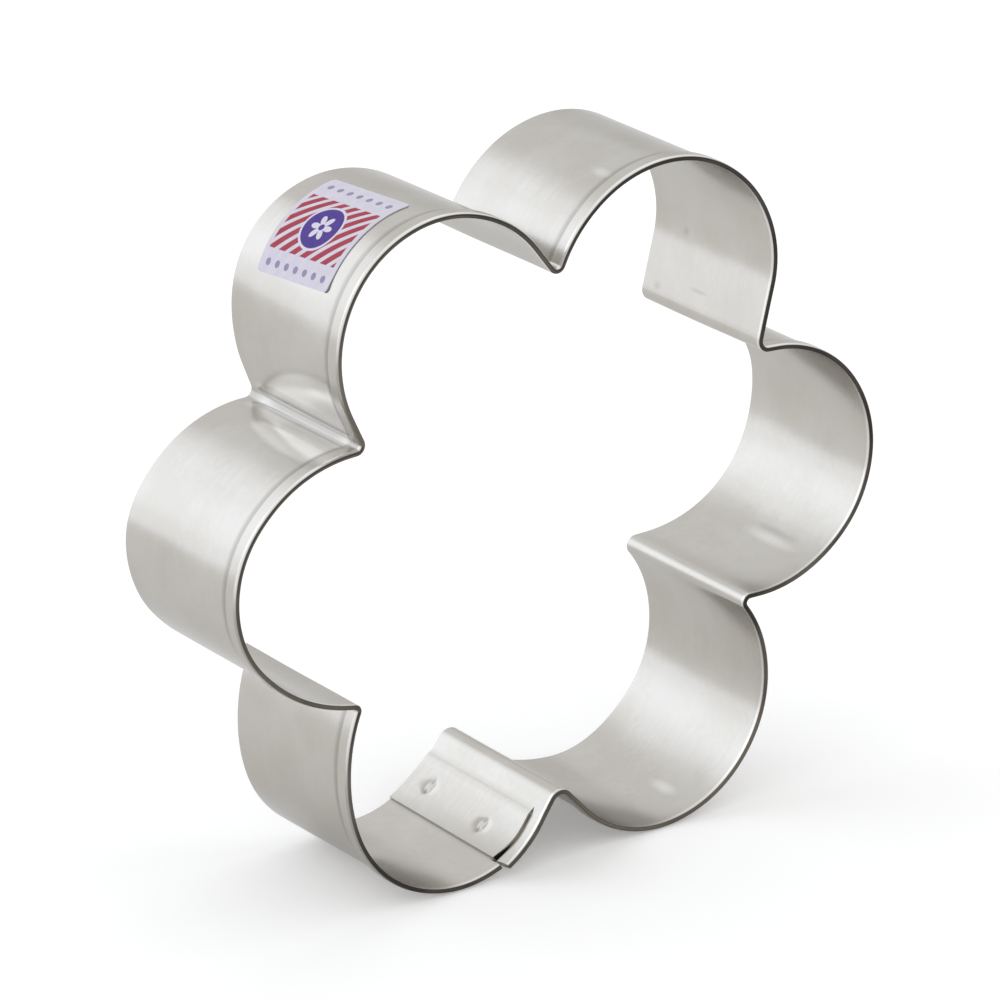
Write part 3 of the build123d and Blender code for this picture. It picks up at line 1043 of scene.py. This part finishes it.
# Three dark patches are scuffs on the tin; the fourth, at 61 mm, is a painted shade line where a bright
# reflected band ends.
scuff_and_shade_places = ((108.0, 5.3), (100.8, 8.5), (102.1, 1.1), (61.0, -2.5))
scuff_and_shade_sizes = ((0.80, 0.65), (0.65, 0.95), (0.38, 2.50), (0.70, 5.50))
scuffs_and_shade = []
for (along, depth), (long, deep) in zip(scuff_and_shade_places, scuff_and_shade_sizes):
    scuffs_and_shade.append(tin.smudge(flat_place, inner_spot(along, depth), (long * MM, deep * MM, 1)))
outer_spot = (137.6 * MM, (section_run[hem_count] + 2.2) * MM, 0)
# The glints are painted highlights.
glint_places = (outer_spot, inner_spot(21.4, -4.6), inner_spot(59.8, -2.6))
glint_sizes = ((1.0, 2.1), (1.1, 3.0), (1.0, 6.0))
glints = []
for place, (long, deep) in zip(glint_places, glint_sizes):
    glints.append(tin.smudge(flat_place, place, (long * MM, deep * MM, 1)))
tin_pale, tin_deep = (0.480, 0.460, 0.425, 1), (0.448, 0.425, 0.386, 1)
# The pale and bright highlight colours are painted light; the rim's dark and olive, the shade grey and the
# deep black are painted shade.
highlight_pale, highlight_bright, sheared = (0.83, 0.815, 0.78, 1), (0.86, 0.85, 0.83, 1), (0.54, 0.53, 0.51, 1)
rim_shade_dark, rim_shade_olive = (0.042, 0.037, 0.032, 1), (0.145, 0.131, 0.108, 1)
shade_and_scuff_grey, deep_shade_black = (0.25, 0.237, 0.215, 1), (0.012, 0.011, 0.010, 1)
shade = tin.math("ADD", tin.math("MULTIPLY", clouds, 0.8), tin.math("MULTIPLY", mottle, 0.2))
metal = tin.blend(tin.step(shade, 0.36, 0.64), tin_deep, tin_pale)
# Layers: painted highlight on the dents, the bare sheared edge, painted shade in the crease, painted
# highlight on the rim.
layers = {"painted_dent_light": (0.95, highlight_pale), "shear": (0.6, sheared)}
layers.update({"painted_shade": (0.6, shade_and_scuff_grey), "painted_highlight": (0.8, highlight_bright)})
for name, (strength, colour) in layers.items():
    metal = tin.blend(tin.math("MULTIPLY", tin.mark(name), strength), metal, colour)
# Painted shade and reflection: the rim at the fold turns dark with olive patches, less olive under the
# painted highlight.
patches = tin.noise(object_place, 55.0, 4.0)
off_highlight = tin.math("SUBTRACT", 1.0, tin.math("MULTIPLY", tin.mark("painted_highlight"), 0.8))
rim_shade_mix = tin.math("MULTIPLY", tin.step(patches, 0.36, 0.66), off_highlight)
metal = tin.blend(tin.mark("fold"), metal, tin.blend(rim_shade_mix, rim_shade_dark, rim_shade_olive))
dark_patch_strength, glint_strength = 0.3, 0.32
# The scuffs and the painted shade line darken, and the painted glints brighten.
for dark_patch in scuffs_and_shade:
    metal = tin.blend(tin.math("MULTIPLY", dark_patch, dark_patch_strength), metal, shade_and_scuff_grey)
for glint in glints:
    metal = tin.blend(tin.math("MULTIPLY", glint, glint_strength), metal, highlight_pale)
# Painted shade: black in the slit and grey at the weld ends.
metal = tin.blend(tin.mark("painted_deep_shade"), metal, deep_shade_black)
tin.feed(tin.shader.inputs["Base Color"], metal)
tin.shader.inputs["Metallic"].default_value = 1.0
tin.shader.inputs["Specular Tint"].default_value = (0.79, 0.79, 0.79, 1)
texture = tin.math("ADD", tin.math("MULTIPLY", rolling, 0.6), tin.math("MULTIPLY", clouds, 0.4))
least_rough, most_rough, fold_rough = 0.20, 0.27, 0.2
satin = tin.step(texture, 0.3, 0.7, least_rough, most_rough)
rougher = tin.math("MULTIPLY", tin.mark("fold"), fold_rough)
tin.feed(tin.shader.inputs["Roughness"], tin.math("ADD", satin, rougher))
grain = tin.bump(rolling, 0.000004)
tin.feed(tin.shader.inputs["Normal"], tin.bump(clouds, 0.00001, below=grain))
strip.data.materials.append(tin.material)

# %% [markdown]
# ## Weld metal
# The nuggets are the same metal, melted: paler, a little rougher, with painted shade in the pits.

# %% The nuggets' finish
melt = Wiring("weld_metal")
melt_place = melt.add("ShaderNodeTexCoord").outputs["Object"]
grains = melt.noise(melt_place, 3000.0)
pale = melt.blend(melt.step(grains, 0.35, 0.65), (0.42, 0.405, 0.38, 1), (0.49, 0.475, 0.45, 1))
# Painted shade in the nugget's pits.
painted_deep_shade = melt.step(melt.mark("pit"), 0.25, 0.85)
melt.feed(melt.shader.inputs["Base Color"], melt.blend(painted_deep_shade, pale, (0.21, 0.20, 0.19, 1)))
melt.shader.inputs["Metallic"].default_value = 1.0
melt.feed(melt.shader.inputs["Roughness"], melt.step(grains, 0.3, 0.7, 0.30, 0.42))
melt.feed(melt.shader.inputs["Normal"], melt.bump(grains, 0.00001))
for piece in nuggets:
    piece.data.materials.append(melt.material)

# %% [markdown]
# ## The label's print
# The print is a drawing in the label's own flat coordinates, with a formula for each motif: candy stripes
# are a wave over a slanting direction, the round medallion is a distance from its middle, and the flower
# in it is a distance compared with a radius that swings six times round. Dots in two rows finish the
# plain ends.

# %% The label's finish
paper = Wiring("label_print")
label_place = paper.add("ShaderNodeUVMap", uv_map="flat").outputs[0]
spot = paper.add("ShaderNodeSeparateXYZ", {0: paper.stretched(label_place, 1000, 1000, 1)})
down, toward = spot.outputs[0], spot.outputs[1]
panel_middle, panel_half_height, panel_half_width = 0.35, 3.85, 5.95
stripe_pitch, slant_share = 1.35, 0.7071
medallion_radius = 2.75
petal_least, petal_swing = 0.55, 1.15
eye_start, eye_end = 0.38, 0.46
dot_pitch, dot_radius, dots_half_width = 1.7, 0.40, 5.7
row_places = (-5.25, 5.65)
soft = 0.05


def inside(wiring, distance, limit):
    """One where a distance is below its limit, zero above it, with a soft edge."""
    return wiring.step(distance, limit - soft, limit + soft, 1.0, 0.0)


def away(wiring, across, along):
    """A distance in the flat: the root of the sum of two squares."""
    squares = [wiring.math("MULTIPLY", side, side) for side in (across, along)]
    return wiring.math("SQRT", wiring.math("ADD", *squares))


from_panel = paper.math("ABSOLUTE", paper.math("SUBTRACT", down, panel_middle))
panel = paper.math("MULTIPLY", inside(paper, from_panel, panel_half_height),
                   inside(paper, paper.math("ABSOLUTE", toward), panel_half_width))
slant = paper.math("MULTIPLY", paper.math("ADD", down, toward), 2 * np.pi / stripe_pitch * slant_share)
stripes = paper.step(paper.math("SINE", slant), -0.42, -0.12)
centred = paper.math("SUBTRACT", down, panel_middle)
radius = away(paper, centred, toward)
angle = paper.math("ARCTAN2", centred, toward)
swing = paper.math("ABSOLUTE", paper.math("COSINE", paper.math("MULTIPLY", angle, 3.0)))
petals = paper.math("ADD", petal_least, paper.math("MULTIPLY", swing, petal_swing))
flower = paper.math("MULTIPLY", inside(paper, paper.math("SUBTRACT", radius, petals), 0.0),
                    paper.step(radius, eye_start, eye_end))
dot_across = paper.math("PINGPONG", toward, dot_pitch / 2)
row_gaps = [paper.math("ABSOLUTE", paper.math("SUBTRACT", down, place)) for place in row_places]
dot_reach = away(paper, dot_across, paper.math("MINIMUM", *row_gaps))
in_row = inside(paper, paper.math("ABSOLUTE", toward), dots_half_width)
dots = paper.math("MULTIPLY", inside(paper, dot_reach, dot_radius), in_row)
fibres = paper.noise(paper.add("ShaderNodeTexCoord").outputs["Object"], 900.0)
paper_white, ink_red = (0.68, 0.65, 0.74, 1), (0.36, 0.018, 0.045, 1)
ink_violet, ink_grey = (0.050, 0.012, 0.25, 1), (0.27, 0.25, 0.40, 1)
paint = paper.blend(paper.step(fibres, 0.3, 0.7), (0.62, 0.59, 0.70, 1), paper_white)
paint = paper.blend(dots, paint, ink_grey)
paint = paper.blend(paper.math("MULTIPLY", panel, stripes), paint, ink_red)
paint = paper.blend(inside(paper, radius, medallion_radius + 0.3), paint, paper_white)
paint = paper.blend(inside(paper, radius, medallion_radius), paint, ink_violet)
paint = paper.blend(flower, paint, paper_white)
paper.feed(paper.shader.inputs["Base Color"], paint)
paper.shader.inputs["Specular IOR Level"].default_value = 0.25
paper.feed(paper.shader.inputs["Roughness"], paper.step(fibres, 0.3, 0.7, 0.36, 0.46))
paper.feed(paper.shader.inputs["Normal"], paper.bump(fibres, 0.00001))
label.data.materials.append(paper.material)

# %% [markdown]
# ## Glue
# The glue shows only as a thin yellowish line where the label's corner lifts. It is so thin that a plain
# pale surface with faint streaks is enough, and no light has to pass through it.

# %% The glue's finish
gum = Wiring("label_glue")
streaks = gum.noise(gum.add("ShaderNodeTexCoord").outputs["Object"], 700.0)
glue_deep, glue_pale = (0.62, 0.58, 0.47, 1), (0.72, 0.69, 0.60, 1)
gum.feed(gum.shader.inputs["Base Color"], gum.blend(gum.step(streaks, 0.3, 0.7), glue_deep, glue_pale))
gum.feed(gum.shader.inputs["Roughness"], gum.step(streaks, 0.3, 0.7, 0.25, 0.45))
gum.feed(gum.shader.inputs["Normal"], gum.bump(streaks, 0.00002))
glue.data.materials.append(gum.material)

# %% [markdown]
# ## The studio
# The cutter stands on a white floor, one large flat square whose colour is nearly white. For the camera
# and for reflections it also gives off a little light of its own, so that it looks white away from the
# object and still keeps the soft shadow. The surroundings are white as well for the camera and for
# reflections, and a little lower for plain lighting, so that a colour comes out about as it is written.

# %% The floor
floor_half = 6.0
corners = [(-floor_half, -floor_half, 0), (floor_half, -floor_half, 0)]
corners += [(floor_half, floor_half, 0), (-floor_half, floor_half, 0)]
floor_mesh = bpy.data.meshes.new("white_floor")
floor_mesh.from_pydata(corners, [], [(0, 1, 2, 3)])
floor = bpy.data.objects.new("white_floor", floor_mesh)
bpy.context.scene.collection.objects.link(floor)


def seen_directly(wiring):
    """One for camera, glossy and transmission rays, and zero for the rays that only light things."""
    path = wiring.add("ShaderNodeLightPath").outputs
    seen = wiring.math("MAXIMUM", path["Is Camera Ray"], path["Is Glossy Ray"])
    return wiring.math("MAXIMUM", seen, path["Is Transmission Ray"])


floor_glow = 0.20
ground = Wiring("white_floor")
ground.shader.inputs["Base Color"].default_value = (0.93, 0.93, 0.93, 1)
ground.shader.inputs["Roughness"].default_value = 1.0
ground.shader.inputs["Specular IOR Level"].default_value = 0.0
ground.shader.inputs["Emission Color"].default_value = (1, 1, 1, 1)
glow = ground.math("MULTIPLY", seen_directly(ground), floor_glow)
ground.feed(ground.shader.inputs["Emission Strength"], glow)
floor_mesh.materials.append(ground.material)

# %% The surroundings
plain_level = 0.89


class Sky(Wiring):
    """The world's node tree, wired as a material's is."""

    def __init__(self, name):
        self.world = bpy.data.worlds.new(name)
        self.world.use_nodes = True
        self.tree = self.world.node_tree
        self.shader = self.tree.nodes["Background"]


studio = Sky("white_studio")
studio.shader.inputs["Color"].default_value = (1, 1, 1, 1)
studio.feed(studio.shader.inputs["Strength"], studio.step(seen_directly(studio), 0.0, 1.0, plain_level, 1.0))
bpy.context.scene.world = studio.world

# %% [markdown]
# ## The lamps
# Metal shows its surroundings, so a cutter's light and dark bands are a picture of the room. The bright
# band on the petals is a large soft box, behind and to the left of the cutter and not much above the
# floor, with a smaller one before its middle, so that it is brightest there. A third and fainter box
# stands higher, behind the cutter, and lifts the tops of the petals. The even light of the surroundings
# drops the soft shadow straight down.

# %% Soft boxes


def soft_box(name, bearing, height, distance, width, tall, brightness, colour):
    """A flat lamp that faces the cutter, from a bearing and a height in degrees.

    Its brightness is that of its face: a flat lamp's power is its brightness times its area times pi.
    """
    light = bpy.data.lights.new(name, "AREA")
    light.shape = "RECTANGLE"
    light.size, light.size_y = width, tall
    light.energy = brightness * np.pi * width * tall
    light.color = colour
    bearing, height = np.radians([bearing, height])
    flat = np.cos(height)
    way = Vector((np.sin(bearing) * flat, np.cos(bearing) * flat, np.sin(height)))
    lamp = bpy.data.objects.new(name, light)
    bpy.context.scene.collection.objects.link(lamp)
    lamp.location = way * distance + Vector((0, 0, cutter_middle))
    lamp.rotation_euler = way.to_track_quat("Z", "Y").to_euler()
    return lamp


cutter_middle = 0.04
cool_white = (0.78, 0.86, 1.0)
soft_box("back_left_box", -26.0, 18.6, 1.2, 1.10, 0.92, 0.90, cool_white)
soft_box("back_left_core", -31.0, 21.5, 1.15, 0.62, 0.42, 0.22, cool_white)
soft_box("rear_box", 10.0, 38.0, 1.5, 1.40, 0.80, 0.21, cool_white)

# %% The picture's settings
bpy.context.scene.view_settings.view_transform = "Standard"
